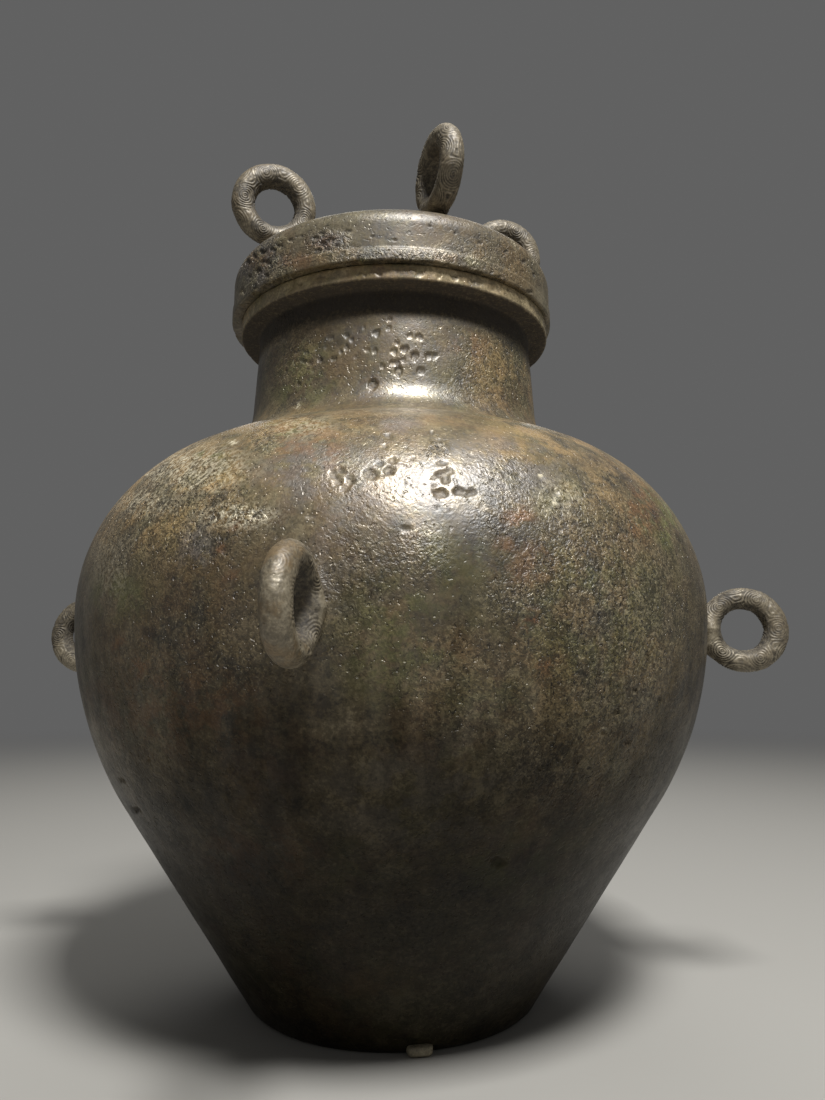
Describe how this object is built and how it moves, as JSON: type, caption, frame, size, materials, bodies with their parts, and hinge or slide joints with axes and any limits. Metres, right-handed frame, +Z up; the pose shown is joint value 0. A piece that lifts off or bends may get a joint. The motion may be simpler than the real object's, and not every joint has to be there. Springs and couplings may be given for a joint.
{
  "type": "lidded storage jar",
  "caption": "Tall bronze storage jar with a round shoulder, a narrow flat foot, a short neck with a thick lip, ring handles around the belly, and a domed lid that carries ring handles.",
  "frame": {"origin": "middle of the jar's flat underside, on the floor it stands on", "axes": "+Z up along the jar's axis; -Y towards the belly ring that faces the viewer, +X towards the belly ring on the right"},
  "size_m": [0.5014, 0.5014, 0.5372],
  "materials": {
    "bronze": "dark patinated cast bronze, waxed on the shoulder, pitted and corroded"
  },
  "bodies": {
    "root": {"jar": "bronze", "lid": "bronze"}
  },
  "joints": []
}
